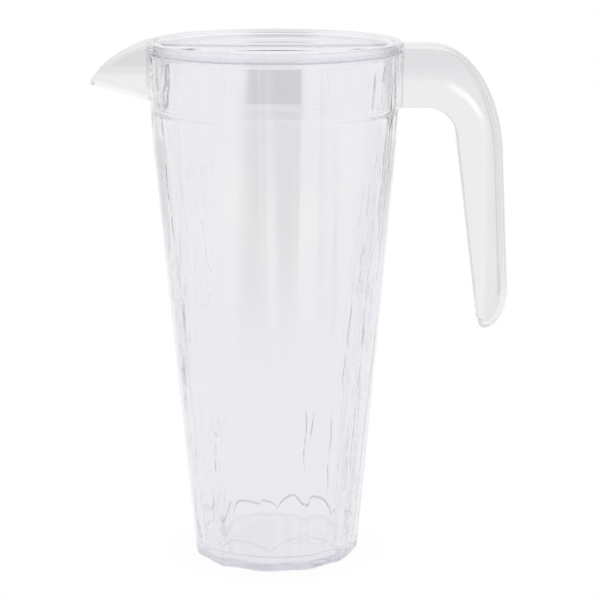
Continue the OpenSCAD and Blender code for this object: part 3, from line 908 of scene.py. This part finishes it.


# finish of the handle: paler inner band along the hook as painted reflection, parted by a bright line that is
# a painted highlight, strongest in the bend; the top darker as painted shade

hookFinish = {
    "tints": ((0.877, 0.877, 0.889), (0.902, 0.902, 0.91)), "stretch": (40, 40, 40),
    "bend": 1.5, "gloss": (0.0, 0.012), "waves": 0.02 * mm,
    # painted reflection: paler inner band; painted highlight: white line; painted shade: darker top
    "bandReflection": (0.915, 0.915, 0.92), "bandFall": (-2.5 * mm, 1.5 * mm),
    "bandCentre": (70.8 * mm, rimZ - 46.5 * mm), "bandRadius": 27.7 * mm,
    "highlightTint": (1.0, 1.0, 1.0), "lineRise": (-2.2 * mm, -0.6 * mm), "lineFall": (0.4 * mm, 2.0 * mm),
    "lineBend": (7 * mm, 14 * mm), "lineStraight": 0.25,
    "topShade": (0.85, 0.85, 0.86), "topRise": (rimZ - 23 * mm, rimZ - 5 * mm),
}


def handleMaterial():
    f = hookFinish
    material = clearPlastic("handleClear", f)
    x, y, z = places(material)
    out = maths(material, "MAXIMUM", maths(material, "SUBTRACT", x, f["bandCentre"][0]), 0.0)
    up = maths(material, "MAXIMUM", maths(material, "SUBTRACT", z, f["bandCentre"][1]), 0.0)
    away = maths(material, "SUBTRACT", distance(material, out, up), f["bandRadius"])
    inBend = ranged(material, maths(material, "MINIMUM", out, up), *f["lineBend"], f["lineStraight"], 1.0)
    rise = ranged(material, away, *f["lineRise"], 0.0, 1.0)
    fall = ranged(material, away, *f["lineFall"], 1.0, 0.0)
    # painted reflection: paler band within the hook's inner edge
    addTint(material, f["bandReflection"], ranged(material, away, *f["bandFall"], 1.0, 0.0))
    # painted highlight: white line along the band's edge, strongest in the bend
    addTint(material, f["highlightTint"], rise, fall, inBend)
    # painted shade: darker upper part of the handle
    addTint(material, f["topShade"], above(material, f["topRise"]))
    return material


# finishes of spout, lid and ring; the ring is softer and slightly cloudy

spoutFinish = {
    "tints": ((0.9, 0.905, 0.903), (0.92, 0.925, 0.922)), "stretch": (40, 40, 40),
    "bend": 1.5, "gloss": (0.0, 0.012), "waves": 0.02 * mm,
    # painted shade: darker upper part of the spout
    "topShade": (0.83, 0.83, 0.835), "topRise": (rimZ - 15.5 * mm, rimZ - 12.5 * mm),
}
lidFinish = {
    "tints": ((0.98, 0.98, 0.987), (0.99, 0.99, 0.994)), "stretch": (40, 40, 40),
    "bend": 1.5, "gloss": (0.0, 0.012), "waves": 0.006 * mm,
    # painted shade along the grip's top
    "edgeShade": (0.6, 0.6, 0.62), "edgeHalf": (5.4 * mm, 6 * mm), "edgeDrop": (1.5 * mm, 0.8 * mm),
    "edgeReach": (51.5 * mm, 53 * mm),
}
ringFinish = {
    "tints": ((0.94, 0.94, 0.955), (0.96, 0.96, 0.97)), "stretch": (220, 220, 220),
    "bend": 1.41, "gloss": (0.02, 0.06), "waves": 0.0,
}


def spoutMaterial():
    material = clearPlastic("spoutClear", spoutFinish)
    # painted shade on the spout's upper part
    addTint(material, spoutFinish["topShade"], above(material, spoutFinish["topRise"]))
    return material


# painted shade: the lid's grip has a greyer edge along its top
def lidMaterial():
    f = lidFinish
    material = clearPlastic("lidClear", f)
    x, y, z = places(material)
    top = rimZ - lidSet["gripDrop"]
    low, high = f["edgeDrop"]
    near = ranged(material, maths(material, "ABSOLUTE", y), *f["edgeHalf"], 1.0, 0.0)
    level = ranged(material, z, top - low, top - high, 0.0, 1.0)
    middle = ranged(material, maths(material, "ABSOLUTE", x), *f["edgeReach"], 1.0, 0.0)
    addTint(material, f["edgeShade"], near, level, middle)
    return material


tintedClear = vesselMaterial()
handleClear = handleMaterial()
spoutClear = spoutMaterial()
lidClear = lidMaterial()
ringSoft = clearPlastic("softClear", ringFinish)
print("finishes mixed")

pieces = [
    (buildVessel, "vessel", "jug", "tinted_clear", tintedClear),
    (buildSpout, "spout", "jug", "plain_clear", spoutClear),
    (buildHandle, "handle", "jug", "plain_clear", handleClear),
    (buildSeal, "lid_seal", "ring", "soft_clear", ringSoft),
    (buildLid, "lid", "cover", "plain_clear", lidClear),
]
for build, node, body, slot, material in pieces:
    piece = build()
    piece.data.materials.clear()
    piece.data.materials.append(material)
    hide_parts(node)
    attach(piece, body)
    print(node, "dressed,", len(piece.data.polygons), "faces")


# stage: pale floor with a soft contact shadow, white surround, grey cards that draw the edges

stageSet = {
    "floorSize": 6.0, "floorDrop": 0.3 * mm, "floorTint": (0.86, 0.86, 0.86, 1), "floorRough": 0.7,
    "shadowReach": 0.022, "shadowShade": 0.96, "shadowSamples": 8,
    "cardGap": 0.28, "cardWidth": 0.8, "cardHeight": 0.9, "cardDepth": 0.5, "cardShade": 0.78,
    "backCard": (-0.045, 0.045, 0.005, 0.239), "backDepth": 0.25, "backShade": 0.54,
    "backFades": (  # left edge, right edge, rise and share of each soft patch
        ((-0.034, -0.004), (0.0155, 0.031), (0.01, 0.13), 0.31),
        ((-0.0242, -0.0132), (0.0148, 0.0258), (0.18, 0.21), 0.42),
    ),
}


def quad(name, corners):
    mesh = bpy.data.meshes.new(name)
    mesh.from_pydata(corners, [], [(0, 1, 2, 3)])
    piece = bpy.data.objects.new(name, mesh)
    scene.collection.objects.link(piece)
    return piece


# camera, glossy and transmitted rays see a white floor with the shadow at the foot,
# other rays a pale matt one
def floorMaterial():
    material, nodes, links = newMaterial("paleFloor")
    shader = nodes["Principled BSDF"]
    shader.inputs["Base Color"].default_value = stageSet["floorTint"]
    shader.inputs["Roughness"].default_value = stageSet["floorRough"]
    path = nodes.new("ShaderNodeLightPath").outputs
    seen = maths(material, "MAXIMUM", path["Is Camera Ray"], path["Is Transmission Ray"])
    seen = maths(material, "MAXIMUM", seen, path["Is Glossy Ray"])
    near = nodes.new("ShaderNodeAmbientOcclusion")
    near.samples = stageSet["shadowSamples"]
    near.inputs["Distance"].default_value = stageSet["shadowReach"]
    shade = nodes.new("ShaderNodeMapRange")
    shade.inputs["To Min"].default_value = stageSet["shadowShade"]
    shade.inputs["To Max"].default_value = 1.0
    links.new(near.outputs["AO"], shade.inputs["Value"])
    white = nodes.new("ShaderNodeEmission")
    links.new(shade.outputs["Result"], white.inputs["Strength"])
    mix = nodes.new("ShaderNodeMixShader")
    links.new(seen, mix.inputs["Fac"])
    links.new(shader.outputs["BSDF"], mix.inputs[1])
    links.new(white.outputs["Emission"], mix.inputs[2])
    links.new(mix.outputs["Shader"], nodes["Material Output"].inputs["Surface"])
    return material


# glowing grey card, or a white one with soft grey patches
def cardMaterial(name, shade, fades=()):
    material, nodes, links = newMaterial(name)
    glow = nodes.new("ShaderNodeEmission")
    glow.inputs["Strength"].default_value = shade
    if fades:
        x, y, z = places(material)
        share = 0.0
        for left, right, rise, amount in fades:
            fromLeft = ranged(material, x, *left, 0.0, 1.0)
            toRight = ranged(material, x, *right, 1.0, 0.0)
            across = maths(material, "MULTIPLY", fromLeft, toRight)
            share = maths(material, "MULTIPLY_ADD", across, ranged(material, z, *rise, 0.0, amount), share)
        dimmed = maths(material, "SUBTRACT", 1.0, maths(material, "MULTIPLY", share, 1 - shade))
        links.new(dimmed, glow.inputs["Strength"])
    links.new(glow.outputs["Emission"], nodes["Material Output"].inputs["Surface"])
    return material


def addCard(name, corners, material):
    panel = quad(name, corners)
    panel.data.materials.append(material)
    panel.visible_camera = False
    panel.visible_shadow = False
    panel.visible_diffuse = False


def upright(x0, x1, y, z0, z1):
    return [(x0, y, z0), (x1, y, z0), (x1, y, z1), (x0, y, z1)]


size, drop = stageSet["floorSize"], stageSet["floorDrop"]
corners = [(-size, -size, -drop), (size, -size, -drop), (size, size, -drop), (-size, size, -drop)]
floor = quad("floor", corners)
floor.data.materials.append(floorMaterial())
high = stageSet["cardHeight"]
sideCard = cardMaterial("sideCard", stageSet["cardShade"])
for side in (-1, 1):
    x0, x1 = side * stageSet["cardGap"], side * (stageSet["cardGap"] + stageSet["cardWidth"])
    name = "sideCardL" if side < 0 else "sideCardR"
    addCard(name, upright(x0, x1, stageSet["cardDepth"], 0, high), sideCard)
x0, x1, z0, z1 = stageSet["backCard"]
backCard = cardMaterial("backCard", stageSet["backShade"], stageSet["backFades"])
addCard("backCard", upright(x0, x1, stageSet["backDepth"], z0, z1), backCard)

world = bpy.data.worlds.new("surround")
scene.world = world
world.use_nodes = True
background = world.node_tree.nodes["Background"]
background.inputs["Color"].default_value = (1, 1, 1, 1)
background.inputs["Strength"].default_value = 1.0

# camera at the photograph's angle, for a square picture
cameraSet = {
    "distance": 1.050, "height": 0.351, "aside": 0.0119, "pitch": 12.3, "lens": 136.0, "sensor": 36,
}
camera = bpy.data.cameras.new("camera")
camera.sensor_width = cameraSet["sensor"]
camera.lens = cameraSet["lens"]
viewer = bpy.data.objects.new("camera", camera)
scene.collection.objects.link(viewer)
viewer.location = (cameraSet["aside"], -cameraSet["distance"], cameraSet["height"])
viewer.rotation_euler = (math.pi / 2 - math.radians(cameraSet["pitch"]), 0, 0)
scene.camera = viewer
scene.view_settings.view_transform = "Standard"

# many clear walls lie behind each other, so light may pass through many of them
scene.cycles.max_bounces = 128
scene.cycles.transmission_bounces = 128
scene.cycles.glossy_bounces = 64
print("stage set")
